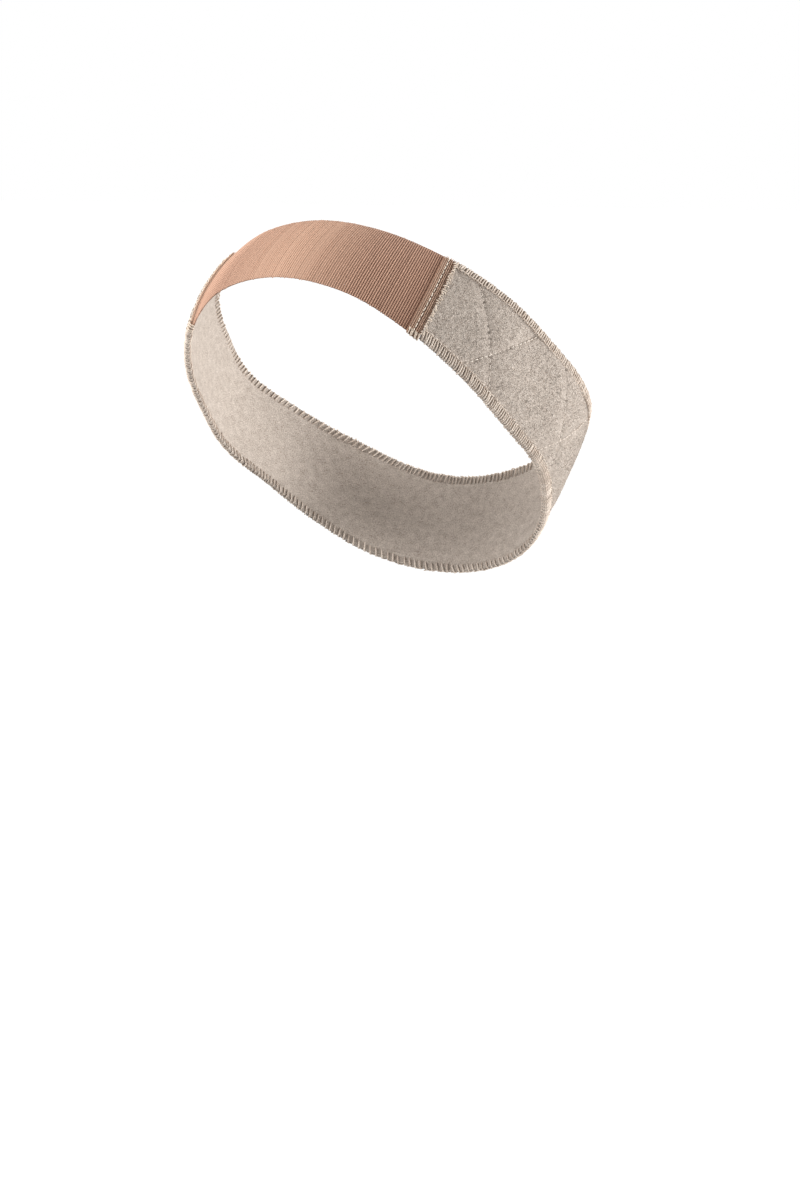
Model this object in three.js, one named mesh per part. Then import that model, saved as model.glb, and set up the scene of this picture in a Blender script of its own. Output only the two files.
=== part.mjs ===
// A wig grip band in the shape it takes on a head: a ribbed lace panel over the hairline, a stitched
// seam strip at each end of it, and a quilted velvet band round the sides and back whose two long
// edges are bound with overlock thread.
// Millimetres, +Z up. The wearer faces -Y and the wearer's left is +X. The origin is the middle of
// the loop, which keeps the tilt that it has when it is worn: high in front and low at the back.

import * as THREE from 'three';

// Loop round the head
const LOOP_REACH = 91;
const LOOP_TILT = 43.6;

// Cloth
const BAND_WIDTH = 44;
const LACE_THICKNESS = 1.2;
const VELVET_THICKNESS = 2.6;
const QUILT_PITCH = 56.4;
const QUILT_ANGLE = 54.6;
const QUILT_CROSSING_DROP = 6.4;
const QUILT_LINE_WIDTH = 7;
const QUILT_DEPTH = 0.5;

// Seam strips
const SEAM_REACH = 61;
const SEAM_WIDTH = 5.4;
const SEAM_THICKNESS = 2;
const SEAM_OVERHANG = 0.8;
const SEAM_GROOVE_DEPTH = 0.7;
const SEAM_SLANT = 1;

// Overlock edging
const OVERLOCK_WIDTH = 3.8;
const OVERLOCK_THICKNESS = 3.4;

// Clearance between neighbouring pieces
const PIECE_GAP = 0.3;

// Mesh fineness
const STEP_ALONG = 4.6;
const CENTRE_LINE_DIVISIONS = 1440;

// Half of the loop in its own tilted plane, from the middle of the forehead to the middle of the back.
// turn: degrees round the loop. reach and lift: shares of LOOP_REACH, out from the middle and up from
// the plane. lean: degrees that the wall's top leans in from square. width: share of BAND_WIDTH.
const STATIONS = [
  { turn: 0, reach: 1, lift: 0.026, lean: 13, width: 0.935 },
  { turn: 20, reach: 0.987, lift: 0.01, lean: 10.5, width: 0.945 },
  { turn: 40, reach: 0.942, lift: -0.016, lean: 2, width: 0.98 },
  { turn: 60, reach: 0.898, lift: -0.028, lean: -6.5, width: 1 },
  { turn: 80, reach: 0.868, lift: -0.024, lean: -10, width: 1 },
  { turn: 100, reach: 0.895, lift: -0.002, lean: -9.5, width: 0.99 },
  { turn: 120, reach: 0.892, lift: 0.03, lean: -4, width: 0.99 },
  { turn: 140, reach: 0.893, lift: 0.018, lean: 10, width: 0.985 },
  { turn: 160, reach: 0.896, lift: -0.026, lean: 22.5, width: 0.98 },
  { turn: 180, reach: 0.896, lift: -0.044, lean: 26.5, width: 0.975 },
];

// Profile of the seam strip from the lace to the velvet. place: share of SEAM_WIDTH.
// rise: share of SEAM_THICKNESS. groove: share of SEAM_GROOVE_DEPTH taken off.
const SEAM_PROFILE = [
  { place: 0, rise: 0.70, groove: 0 },
  { place: 0.12, rise: 0.95, groove: 0 },
  { place: 0.35, rise: 1, groove: 0 },
  { place: 0.45, rise: 1, groove: 0.5 },
  { place: 0.55, rise: 1, groove: 0 },
  { place: 0.68, rise: 1, groove: 0.2 },
  { place: 0.78, rise: 1, groove: 1 },
  { place: 0.9, rise: 0.95, groove: 0.3 },
  { place: 1, rise: 0.75, groove: 0 },
];

const MATERIALS = {
  lace: new THREE.MeshStandardMaterial({ color: 0xb98e74, roughness: 0.85, metalness: 0 }),
  seam: new THREE.MeshStandardMaterial({ color: 0xb8947a, roughness: 0.85, metalness: 0 }),
  velvet: new THREE.MeshStandardMaterial({ color: 0xbcac98, roughness: 0.95, metalness: 0 }),
  thread: new THREE.MeshStandardMaterial({ color: 0xb7987f, roughness: 0.75, metalness: 0 }),
};

const LOOP_TILT_ANGLE = THREE.MathUtils.degToRad(LOOP_TILT);
const SIDEWAYS = new THREE.Vector3(1, 0, 0);
const BACKWARD = new THREE.Vector3(0, Math.cos(LOOP_TILT_ANGLE), -Math.sin(LOOP_TILT_ANGLE));
const UPWARD = new THREE.Vector3(0, Math.sin(LOOP_TILT_ANGLE), Math.cos(LOOP_TILT_ANGLE));

// Both halves of the station table, once round the loop from the forehead to the wearer's left.
function stationsRoundLoop() {
  const farHalf = STATIONS.slice(1, -1).reverse();
  return [...STATIONS, ...farHalf.map((station) => ({ ...station, turn: 360 - station.turn }))];
}

function centreLinePoint({ turn, reach, lift }) {
  const angle = THREE.MathUtils.degToRad(turn);
  return new THREE.Vector3()
    .addScaledVector(SIDEWAYS, reach * LOOP_REACH * Math.sin(angle))
    .addScaledVector(BACKWARD, -reach * LOOP_REACH * Math.cos(angle))
    .addScaledVector(UPWARD, lift * LOOP_REACH);
}

function closedCurve(points) {
  const curve = new THREE.CatmullRomCurve3(points, true, 'catmullrom', 0.5);
  curve.arcLengthDivisions = CENTRE_LINE_DIVISIONS;
  return curve;
}

const centreLine = closedCurve(stationsRoundLoop().map(centreLinePoint));
const wallShape = closedCurve(
  stationsRoundLoop().map(({ lean, width }) => new THREE.Vector3(lean, width, 0)),
);
const LOOP_LENGTH = centreLine.getLength();

// Axes of the band's wall at a distance along the centre line from the middle of the forehead:
// rise runs across the band to its upper edge, and outward points away from the head.
function wallAt(along) {
  const place = (((along / LOOP_LENGTH) % 1) + 1) % 1;
  const step = centreLine.getUtoTmapping(place);
  const shape = wallShape.getPoint(step);
  const lean = THREE.MathUtils.degToRad(shape.x);
  const tangent = centreLine.getTangent(step);
  const upright = UPWARD.clone().addScaledVector(tangent, -tangent.dot(UPWARD)).normalize();
  const level = tangent.clone().cross(upright);
  return {
    centre: centreLine.getPoint(step),
    rise: upright.clone().multiplyScalar(Math.cos(lean)).addScaledVector(level, -Math.sin(lean)),
    outward: level.clone().multiplyScalar(Math.cos(lean)).addScaledVector(upright, Math.sin(lean)),
    halfWidth: shape.y * BAND_WIDTH / 2,
  };
}

// How far a thread that runs across the band moves along it from the centre line to the upper edge.
// It slants most at the two seams and stands square in the middle of the lace and of the back.
function threadSlant(along) {
  const fromFront = along - LOOP_LENGTH * Math.round(along / LOOP_LENGTH);
  const distance = Math.abs(fromFront);
  const backReach = LOOP_LENGTH / 2 - SEAM_REACH;
  const fade = distance < SEAM_REACH ? distance / SEAM_REACH : (LOOP_LENGTH / 2 - distance) / backReach;
  return -Math.sign(fromFront) * SEAM_SLANT * fade;
}

// A point of the cloth. across is measured from the centre line towards the upper edge, and out is
// the height above the head.
function clothPoint(along, across, out) {
  const wall = wallAt(along + threadSlant(along) * across / (BAND_WIDTH / 2));
  const bulge = (wall.halfWidth ** 2 - across ** 2) / (2 * LOOP_REACH);
  return wall.centre.clone()
    .addScaledVector(wall.rise, across)
    .addScaledVector(wall.outward, out + bulge);
}

function evenSteps(from, to, count) {
  return Array.from({ length: count + 1 }, (_, index) => from + (to - from) * index / count);
}

// A closed slab of cloth. rows and columns are lists, and surface gives the outer or inner point.
function slabGeometry(rows, columns, surface) {
  const positions = [];
  const indices = [];
  const rowCount = rows.length;
  const columnCount = columns.length;
  const vertexOf = (row, column, side) => (row * columnCount + column) * 2 + side;
  for (const row of rows) {
    for (const column of columns) {
      for (const isOuter of [false, true]) {
        positions.push(...surface(row, column, isOuter).toArray());
      }
    }
  }
  const addQuad = (a, b, c, d) => indices.push(a, b, c, a, c, d);
  for (let row = 0; row < rowCount - 1; row += 1) {
    for (let column = 0; column < columnCount - 1; column += 1) {
      addQuad(
        vertexOf(row, column, 1),
        vertexOf(row + 1, column, 1),
        vertexOf(row + 1, column + 1, 1),
        vertexOf(row, column + 1, 1),
      );
      addQuad(
        vertexOf(row, column + 1, 0),
        vertexOf(row + 1, column + 1, 0),
        vertexOf(row + 1, column, 0),
        vertexOf(row, column, 0),
      );
    }
  }
  const lastColumn = columnCount - 1;
  for (let row = 0; row < rowCount - 1; row += 1) {
    addQuad(
      vertexOf(row, 0, 0),
      vertexOf(row + 1, 0, 0),
      vertexOf(row + 1, 0, 1),
      vertexOf(row, 0, 1),
    );
    addQuad(
      vertexOf(row, lastColumn, 1),
      vertexOf(row + 1, lastColumn, 1),
      vertexOf(row + 1, lastColumn, 0),
      vertexOf(row, lastColumn, 0),
    );
  }
  const lastRow = rowCount - 1;
  for (let column = 0; column < columnCount - 1; column += 1) {
    addQuad(
      vertexOf(0, column, 0),
      vertexOf(0, column, 1),
      vertexOf(0, column + 1, 1),
      vertexOf(0, column + 1, 0),
    );
    addQuad(
      vertexOf(lastRow, column, 1),
      vertexOf(lastRow, column, 0),
      vertexOf(lastRow, column + 1, 0),
      vertexOf(lastRow, column + 1, 1),
    );
  }
  const geometry = new THREE.BufferGeometry();
  geometry.setAttribute('position', new THREE.Float32BufferAttribute(positions, 3));
  geometry.setIndex(indices);
  geometry.computeVertexNormals();
  return geometry;
}

function namedMesh(name, geometry, material) {
  const mesh = new THREE.Mesh(geometry, material);
  mesh.name = name;
  return mesh;
}

function rowsBetween(from, to) {
  return evenSteps(from, to, Math.ceil((to - from) / STEP_ALONG));
}

// Shares across the band, closer together by the two edges, whose walls are rounded.
const ACROSS_SHARES = [-1, -0.96, ...evenSteps(-0.84, 0.84, 8), 0.96, 1];

// Thickness left at a share across a wall whose edges are rounded, as a share of the whole.
function edgeFullness(share) {
  return 0.35 + 0.65 * Math.sqrt(1 - Math.abs(share) ** 16);
}

function laceSurface(along, share, isOuter) {
  const middle = LACE_THICKNESS / 2;
  const half = middle * edgeFullness(share);
  return clothPoint(along, share * wallAt(along).halfWidth, middle + (isOuter ? half : -half));
}

function lacePanel() {
  const half = SEAM_REACH - SEAM_WIDTH / 2 - PIECE_GAP;
  const geometry = slabGeometry(rowsBetween(-half, half), ACROSS_SHARES, laceSurface);
  return namedMesh('lace_panel', geometry, MATERIALS.lace);
}

// Depth of the quilting at a place on the velvet: two sets of slanting lines that cross in a row
// just below the centre line, with one crossing in the middle of the back.
function quiltDent(along, across) {
  const fromBack = along - LOOP_LENGTH / 2;
  const shift = (across + QUILT_CROSSING_DROP) / Math.tan(THREE.MathUtils.degToRad(QUILT_ANGLE));
  const depths = [fromBack - shift, fromBack + shift].map((place) => {
    const offset = Math.abs(place - QUILT_PITCH * Math.round(place / QUILT_PITCH));
    return offset < QUILT_LINE_WIDTH ? 0.5 + 0.5 * Math.cos(Math.PI * offset / QUILT_LINE_WIDTH) : 0;
  });
  return QUILT_DEPTH * Math.max(...depths);
}

function velvetSurface(along, share, isOuter) {
  const across = share * (wallAt(along).halfWidth - OVERLOCK_WIDTH - PIECE_GAP);
  const middle = VELVET_THICKNESS / 2;
  const half = middle * edgeFullness(share);
  const dent = isOuter ? quiltDent(along, across) : 0;
  return clothPoint(along, across, middle + (isOuter ? half : -half) - dent);
}

const VELVET_START = SEAM_REACH + SEAM_WIDTH / 2 + PIECE_GAP;

function velvetBand() {
  const rows = rowsBetween(VELVET_START, LOOP_LENGTH - VELVET_START);
  const geometry = slabGeometry(rows, ACROSS_SHARES, velvetSurface);
  return namedMesh('velvet_band', geometry, MATERIALS.velvet);
}

// A row of thread wrapped round one long edge of the velvet. side is 1 for the upper edge.
function overlockEdge(name, side) {
  const rows = rowsBetween(VELVET_START, LOOP_LENGTH - VELVET_START);
  const shares = [-0.97, -0.6, 0, 0.6, 0.97].map((share) => share * side).sort((a, b) => a - b);
  const surface = (along, share, isOuter) => {
    const middle = side * (wallAt(along).halfWidth - OVERLOCK_WIDTH / 2);
    const across = middle + share * OVERLOCK_WIDTH / 2;
    const round = Math.sqrt(1 - share ** 2) * OVERLOCK_THICKNESS / 2;
    return clothPoint(along, across, VELVET_THICKNESS / 2 + (isOuter ? round : -round));
  };
  return namedMesh(name, slabGeometry(rows, shares, surface), MATERIALS.thread);
}

// The folded and stitched strip that joins the lace to the velvet, level with the upper edge and
// hanging over the lower one. side is 1 for the wearer's left.
function seamStrip(name, side) {
  const profile = side > 0 ? SEAM_PROFILE : [...SEAM_PROFILE].reverse();
  const surface = ({ place, rise, groove }, share, isOuter) => {
    const along = side * (SEAM_REACH + (place - 0.5) * SEAM_WIDTH);
    const across = share * (wallAt(along).halfWidth + (share < 0 ? SEAM_OVERHANG : 0));
    const height = rise * SEAM_THICKNESS - groove * SEAM_GROOVE_DEPTH;
    const edgeDrop = (1 - edgeFullness(share)) * SEAM_THICKNESS / 2;
    return clothPoint(along, across, isOuter ? height - edgeDrop : edgeDrop);
  };
  return namedMesh(name, slabGeometry(profile, ACROSS_SHARES, surface), MATERIALS.seam);
}

const gripBand = new THREE.Group();
gripBand.name = 'wig_grip_band';
gripBand.add(
  lacePanel(),
  seamStrip('seam_strip_left', 1),
  seamStrip('seam_strip_right', -1),
  velvetBand(),
  overlockEdge('overlock_upper', 1),
  overlockEdge('overlock_lower', -1),
);

export default gripBand;
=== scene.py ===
"""Looks of a wig grip band in the shape it takes on a head.

Each piece is cut and stitched flat, in metres: x runs along the band from the middle of the forehead
towards the wearer's left, y across it to the upper edge, and z out from the head. WornLoop then bends
the flat piece round the head.
"""

import logging
import math
from dataclasses import dataclass, field
from enum import Enum

import bmesh
import bpy
import numpy as np
from mathutils import Matrix, Vector
from mathutils.kdtree import KDTree


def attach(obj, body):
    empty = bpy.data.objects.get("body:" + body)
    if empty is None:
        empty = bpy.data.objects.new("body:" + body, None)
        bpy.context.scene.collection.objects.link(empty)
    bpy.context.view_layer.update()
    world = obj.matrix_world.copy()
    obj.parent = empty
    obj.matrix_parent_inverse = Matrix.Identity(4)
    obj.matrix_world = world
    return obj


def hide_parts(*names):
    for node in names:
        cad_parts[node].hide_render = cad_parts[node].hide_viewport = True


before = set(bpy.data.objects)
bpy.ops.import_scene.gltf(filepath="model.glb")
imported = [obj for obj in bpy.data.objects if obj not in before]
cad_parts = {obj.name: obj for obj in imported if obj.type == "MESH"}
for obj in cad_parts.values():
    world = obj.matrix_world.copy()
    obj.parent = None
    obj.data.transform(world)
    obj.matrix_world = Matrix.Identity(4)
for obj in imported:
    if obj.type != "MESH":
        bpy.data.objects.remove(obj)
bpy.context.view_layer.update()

log = logging.getLogger("grip_band")

MM = 0.001
BODY = "root"


@dataclass(frozen=True)
class Sizes:
    """Driving sizes of the band in metres, measured along and across the flat cloth."""

    width: float = 44 * MM
    gap: float = 0.3 * MM
    seam_reach: float = 61 * MM
    seam_width: float = 5.4 * MM
    lace_tuck: float = 0.4 * MM
    edging: float = 3.8 * MM
    rib_pitch: float = 1.0 * MM
    lace_stitch: float = 0.9 * MM

    @property
    def lace_reach(self) -> float:
        """How far the lace reaches from the middle of the forehead, a little under the seam strip."""
        return self.seam_reach - self.seam_width / 2 + self.lace_tuck

    @property
    def velvet_start(self) -> float:
        """Where the velvet starts, a gap past the seam strip."""
        return self.seam_reach + self.seam_width / 2 + self.gap


SIZES = Sizes()


@dataclass(frozen=True)
class Station:
    """A place on half of the loop, from the middle of the forehead to the middle of the back.

    turn is in degrees, reach and lift are shares of the loop's reach, lean is how many degrees the
    wall's top leans in, and width is a share of the band's width.
    """

    turn: float
    reach: float
    lift: float
    lean: float
    width: float


STATIONS = (
    Station(0, 1, 0.026, 13, 0.935),
    Station(20, 0.987, 0.01, 10.5, 0.945),
    Station(40, 0.942, -0.016, 2, 0.98),
    Station(60, 0.898, -0.028, -6.5, 1),
    Station(80, 0.868, -0.024, -10, 1),
    Station(100, 0.895, -0.002, -9.5, 0.99),
    Station(120, 0.892, 0.03, -4, 0.99),
    Station(140, 0.893, 0.018, 10, 0.985),
    Station(160, 0.896, -0.026, 22.5, 0.98),
    Station(180, 0.896, -0.044, 26.5, 0.975),
)


class ClosedCurve:
    """A smooth closed curve through evenly numbered points."""

    def __init__(self, points: np.ndarray) -> None:
        """Keeps the points, one row each."""
        self.points = points

    def _nearby(self, step: np.ndarray) -> tuple[np.ndarray, list[np.ndarray]]:
        """Finds the span that each step falls in.

        Args:
            step: Places round the curve, from 0 to 1.

        Returns:
            The share of the span that is passed, and the four points round the span.
        """
        count = len(self.points)
        place = np.mod(step, 1.0) * count
        first = np.floor(place).astype(int)
        share = (place - first)[:, None]
        return share, [self.points[(first + offset) % count] for offset in (-1, 0, 1, 2)]

    def at(self, step: np.ndarray) -> np.ndarray:
        """Returns the point at each step."""
        share, (before, start, end, after) = self._nearby(step)
        leaving, arriving = (end - before) / 2, (after - start) / 2
        return (
            (2 * share**3 - 3 * share**2 + 1) * start
            + (share**3 - 2 * share**2 + share) * leaving
            + (3 * share**2 - 2 * share**3) * end
            + (share**3 - share**2) * arriving
        )

    def direction(self, step: np.ndarray) -> np.ndarray:
        """Returns the unit vector along the curve at each step."""
        ahead = self.at(step + 0.0001) - self.at(step - 0.0001)
        return ahead / np.linalg.norm(ahead, axis=1)[:, None]


@dataclass
class WornLoop:
    """The loop round the head that every piece is bent to."""

    reach: float = 91 * MM
    tilt: float = 43.6
    band_width: float = SIZES.width
    seam_reach: float = SIZES.seam_reach
    seam_slant: float = 1 * MM
    divisions: int = 1440
    stations: tuple[Station, ...] = STATIONS
    length: float = field(init=False)

    def __post_init__(self) -> None:
        """Lays the centre line through the stations and measures it."""
        tilt = math.radians(self.tilt)
        self.sideways = np.array((1.0, 0.0, 0.0))
        self.backward = np.array((0.0, math.cos(tilt), -math.sin(tilt)))
        self.upward = np.array((0.0, math.sin(tilt), math.cos(tilt)))
        far_half = [
            Station(360 - s.turn, s.reach, s.lift, s.lean, s.width)
            for s in reversed(self.stations[1:-1])
        ]
        whole = [*self.stations, *far_half]
        self.line = ClosedCurve(np.array([self._centre_point(s) for s in whole]))
        self.wall = ClosedCurve(np.array([(s.lean, s.width) for s in whole], float))
        self._steps = np.linspace(0, 1, self.divisions + 1)
        chords = np.linalg.norm(np.diff(self.line.at(self._steps), axis=0), axis=1)
        self._passed = np.concatenate([[0.0], np.cumsum(chords)])
        self.length = float(self._passed[-1])

    def _centre_point(self, station: Station) -> np.ndarray:
        """Returns the centre line's point at a station."""
        turn = math.radians(station.turn)
        return self.reach * (
            station.reach * math.sin(turn) * self.sideways
            - station.reach * math.cos(turn) * self.backward
            + station.lift * self.upward
        )

    def thread_slant(self, along: np.ndarray) -> np.ndarray:
        """Returns how far a thread that runs across the band moves along it up to the upper edge."""
        from_front = along - self.length * np.round(along / self.length)
        distance = np.abs(from_front)
        back_reach = self.length / 2 - self.seam_reach
        fade = np.where(
            distance < self.seam_reach,
            distance / self.seam_reach,
            (self.length / 2 - distance) / back_reach,
        )
        return -np.sign(from_front) * self.seam_slant * fade

    def bend(self, flat: np.ndarray) -> np.ndarray:
        """Bends flat points round the head.

        Args:
            flat: One row of x, y and z for each point, in metres.

        Returns:
            The points in the row frame.
        """
        y = flat[:, 1]
        along = flat[:, 0] + self.thread_slant(flat[:, 0]) * y / (self.band_width / 2)
        step = np.interp(np.mod(along, self.length), self._passed, self._steps)
        lean, width = self.wall.at(step).T
        lean = np.radians(lean)[:, None]
        across = y * width
        tangent = self.line.direction(step)
        upright = self.upward - tangent * (tangent @ self.upward)[:, None]
        upright /= np.linalg.norm(upright, axis=1)[:, None]
        level = np.cross(tangent, upright)
        rise = upright * np.cos(lean) - level * np.sin(lean)
        outward = level * np.cos(lean) + upright * np.sin(lean)
        half = width * self.band_width / 2
        crown = (half**2 - across**2) / (2 * self.reach)
        out = (flat[:, 2] + crown)[:, None]
        return self.line.at(step) + rise * across[:, None] + outward * out


class Shader:
    """A material and the few node recipes that the finishes share."""

    def __init__(self, name: str) -> None:
        """Starts a material with its principled shader."""
        self.material = bpy.data.materials.new(name)
        self.material.use_nodes = True
        self.nodes = self.material.node_tree.nodes
        self.links = self.material.node_tree.links
        self.principled = self.nodes["Principled BSDF"]

    def node(self, kind: str, **settings: object) -> bpy.types.Node:
        """Adds a node.

        Args:
            kind: The node's type, such as ShaderNodeMath.
            settings: Its properties, by name.

        Returns:
            The new node.
        """
        made = self.nodes.new(kind)
        for name, value in settings.items():
            setattr(made, name, value)
        return made

    def join(self, source: object, target: object) -> None:
        """Links an output socket to an input socket, or sets the input to a number."""
        if isinstance(source, (int, float)):
            target.default_value = source
        else:
            self.links.new(source, target)

    def cloth_mm(self) -> bpy.types.NodeSocket:
        """Returns the place on the flat cloth in millimetres."""
        uv = self.node("ShaderNodeUVMap", uv_map="cloth")
        mapping = self.node("ShaderNodeMapping", vector_type="POINT")
        mapping.inputs["Scale"].default_value = (1000, 1000, 1000)
        self.join(uv.outputs["UV"], mapping.inputs["Vector"])
        return mapping.outputs["Vector"]

    def split(self, vector: bpy.types.NodeSocket) -> tuple[bpy.types.NodeSocket, ...]:
        """Returns a vector's x, y and z."""
        parts = self.node("ShaderNodeSeparateXYZ")
        self.join(vector, parts.inputs["Vector"])
        return parts.outputs["X"], parts.outputs["Y"], parts.outputs["Z"]

    def stretched(
        self, vector: bpy.types.NodeSocket, scale: tuple[float, float, float], turn: float = 0
    ) -> bpy.types.NodeSocket:
        """Scales and turns a vector.

        Args:
            vector: The vector to change.
            scale: Its scale along x, y and z.
            turn: Degrees that it is turned about z.

        Returns:
            The changed vector.
        """
        mapping = self.node("ShaderNodeMapping", vector_type="POINT")
        mapping.inputs["Scale"].default_value = scale
        mapping.inputs["Rotation"].default_value = (0, 0, math.radians(turn))
        self.join(vector, mapping.inputs["Vector"])
        return mapping.outputs["Vector"]

    def maths(self, operation: str, *values: object) -> bpy.types.NodeSocket:
        """Returns the result of a maths node on sockets or numbers."""
        made = self.node("ShaderNodeMath", operation=operation)
        for index, value in enumerate(values):
            self.join(value, made.inputs[index])
        return made.outputs["Value"]

    def weighted(self, *parts: tuple[bpy.types.NodeSocket, float]) -> bpy.types.NodeSocket:
        """Returns the sum of several values, each times its weight."""
        total, *others = (self.maths("MULTIPLY", value, weight) for value, weight in parts)
        for value in others:
            total = self.maths("ADD", total, value)
        return total

    def zigzag(self, value: bpy.types.NodeSocket) -> bpy.types.NodeSocket:
        """Returns a wave that rises from 0 to 1 and falls back for each whole step of a value."""
        return self.maths("MULTIPLY", self.maths("PINGPONG", value, 0.5), 2.0)

    def attribute(self, name: str) -> bpy.types.Node:
        """Returns a node that reads a point attribute."""
        return self.node("ShaderNodeAttribute", attribute_name=name)

    def noise(
        self, vector: bpy.types.NodeSocket, scale: float, detail: float = 3, roughness: float = 0.6
    ) -> bpy.types.NodeSocket:
        """Returns a soft noise from 0 to 1.

        Args:
            vector: Where it is read.
            scale: Waves for each unit.
            detail: Finer layers.
            roughness: How strong those are.

        Returns:
            The noise's value.
        """
        made = self.node("ShaderNodeTexNoise")
        made.inputs["Scale"].default_value = scale
        made.inputs["Detail"].default_value = detail
        made.inputs["Roughness"].default_value = roughness
        self.join(vector, made.inputs["Vector"])
        return made.outputs["Fac"]

    def ramp(
        self, value: bpy.types.NodeSocket, stops: tuple[tuple[float, tuple[float, float, float]], ...]
    ) -> bpy.types.NodeSocket:
        """Returns a colour from a value.

        Args:
            value: From 0 to 1.
            stops: Places and their colours, lowest place first.

        Returns:
            The colour.
        """
        made = self.node("ShaderNodeValToRGB")
        band = made.color_ramp
        while len(band.elements) < len(stops):
            band.elements.new(0.5)
        for element, (place, colour) in zip(band.elements, stops):
            element.position = place
            element.color = (*colour, 1)
        self.join(value, made.inputs["Fac"])
        return made.outputs["Color"]

    def tinted(
        self, first: bpy.types.NodeSocket, second: object, share: object, blend: str = "MIX"
    ) -> bpy.types.NodeSocket:
        """Mixes two colours.

        Args:
            first: The colour below.
            second: A colour socket or three numbers.
            share: How much of the second shows, a socket or a number.
            blend: The blend mode.

        Returns:
            The mixed colour.
        """
        made = self.node("ShaderNodeMix", data_type="RGBA", blend_type=blend)
        self.join(share, made.inputs[0])
        self.join(first, made.inputs[6])
        if isinstance(second, tuple):
            made.inputs[7].default_value = (*second, 1)
        else:
            self.join(second, made.inputs[7])
        return made.outputs[2]

    def raised(self, height: bpy.types.NodeSocket, distance: float, strength: float = 1) -> None:
        """Bumps the surface.

        Args:
            height: From 0 to 1.
            distance: What a height of 1 stands for, in metres.
            strength: Share of the bump that shows.
        """
        bump = self.node("ShaderNodeBump")
        bump.inputs["Distance"].default_value = distance
        bump.inputs["Strength"].default_value = strength
        self.join(height, bump.inputs["Height"])
        self.join(bump.outputs["Normal"], self.principled.inputs["Normal"])

    def finish(self, roughness: float, sheen: float = 0, sheen_roughness: float = 0.4) -> None:
        """Sets the shader's plain numbers.

        Args:
            roughness: Of the cloth.
            sheen: Weight of the soft light on its fibres.
            sheen_roughness: How widely that spreads.
        """
        self.principled.inputs["Roughness"].default_value = roughness
        self.principled.inputs["Specular IOR Level"].default_value = 0.25
        self.principled.inputs["Sheen Weight"].default_value = sheen
        self.principled.inputs["Sheen Roughness"].default_value = sheen_roughness


Colour = tuple[float, float, float]


@dataclass(frozen=True)
class VelvetFinish:
    """The velvet's ground under its nap: mottled, with painted shade where the quilting presses it in,
    in the needle holes, under the edging and between the fibres.
    """

    # Darker than the nap's colours: painted shade between the fibres.
    dark: Colour = (0.3, 0.24, 0.2)
    middle: Colour = (0.5, 0.43, 0.37)
    light: Colour = (0.68, 0.6, 0.53)
    # hole is the painted shade of the needle holes and of the ground under the edging.
    hole: Colour = (0.08, 0.06, 0.045)

    def material(self) -> bpy.types.Material:
        """Returns the velvet's material."""
        shader = Shader("velvet_ground")
        place = shader.cloth_mm()
        fibres = shader.noise(shader.stretched(place, (1.0, 0.6, 1.0), 20), 2.4, 4, 0.7)
        tufts = shader.noise(place, 0.3, 3, 0.6)
        mottle = shader.weighted((fibres, 0.75), (tufts, 0.25))
        colour = shader.ramp(mottle, ((0.38, self.dark), (0.5, self.middle), (0.62, self.light)))
        # Darkens the quilting creases, the needle holes and the ground under the edging: painted
        # shade.
        line, hole, edging_painted_shade = shader.split(shader.attribute("painted_shade_masks").outputs["Vector"])
        colour = shader.tinted(colour, self.dark, shader.maths("MULTIPLY", line, 0.2))
        colour = shader.tinted(colour, self.hole, shader.maths("MULTIPLY", edging_painted_shade, 0.1))
        colour = shader.tinted(colour, self.hole, hole)
        shader.join(colour, shader.principled.inputs["Base Color"])
        shader.raised(mottle, 0.6 * MM, 0.8)
        shader.finish(0.95, 0.2, 0.5)
        shader.principled.inputs["Sheen Tint"].default_value = (0.95, 0.9, 0.84, 1)
        return shader.material


@dataclass(frozen=True)
class NapFinish:
    """Fibres of the velvet, each of its own shade, in paler and darker drifts."""

    dark: Colour = (0.46, 0.385, 0.33)
    middle: Colour = (0.62, 0.545, 0.48)
    light: Colour = (0.85, 0.78, 0.71)

    def material(self) -> bpy.types.Material:
        """Returns the nap's material."""
        shader = Shader("velvet_nap")
        own = shader.attribute("fibre").outputs["Fac"]
        place = shader.cloth_mm()
        drift = shader.noise(shader.stretched(place, (1.0, 0.6, 1.0), 25), 0.16, 3, 0.6)
        tufts = shader.noise(place, 0.8, 2, 0.6)
        shade = shader.weighted((own, 0.6), (drift, 0.2), (tufts, 0.2))
        colour = shader.ramp(shade, ((0.22, self.dark), (0.48, self.middle), (0.76, self.light)))
        shader.join(colour, shader.principled.inputs["Base Color"])
        shader.finish(0.8, 0.25, 0.4)
        shader.principled.inputs["Sheen Tint"].default_value = (0.95, 0.91, 0.86, 1)
        return shader.material


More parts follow.
